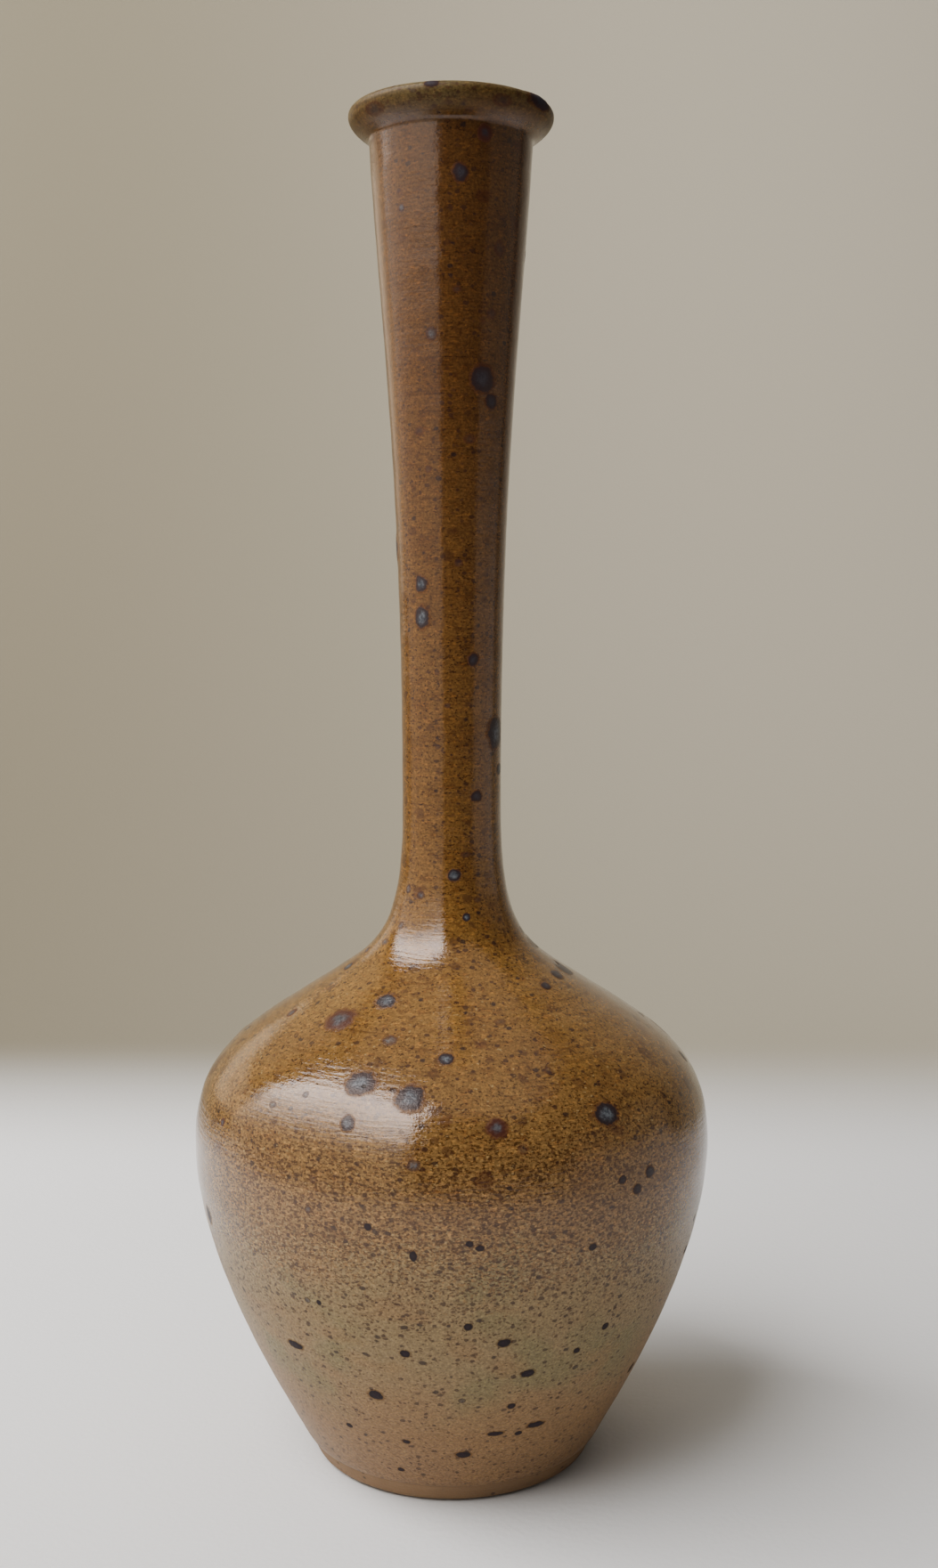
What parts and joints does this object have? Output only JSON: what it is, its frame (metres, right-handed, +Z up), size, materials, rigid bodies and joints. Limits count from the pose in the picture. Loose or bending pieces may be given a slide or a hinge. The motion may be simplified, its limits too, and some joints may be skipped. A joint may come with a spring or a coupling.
{
  "type": "bud vase",
  "caption": "Wheel-thrown stoneware bud vase: round low belly, tall slender neck with a small flared lip, speckled amber glaze fading to a toasted base.",
  "frame": {"origin": "centre of the foot's resting plane, on the vase's axis", "axes": "+Z up along the vase's axis, from the foot to the mouth; -Y is the front"},
  "size_m": [0.1284, 0.1284, 0.33],
  "materials": {
    "toasted_clay": "matte",
    "buff_clay": "matte",
    "amber_glaze": "gloss",
    "liner_glaze": "gloss"
  },
  "bodies": {
    "root": {"foot": "toasted_clay", "belly": "buff_clay", "shoulder": "buff_clay", "neck": "buff_clay", "lip": "buff_clay", "outer_glaze": "amber_glaze", "inner_glaze": "liner_glaze"}
  },
  "joints": []
}
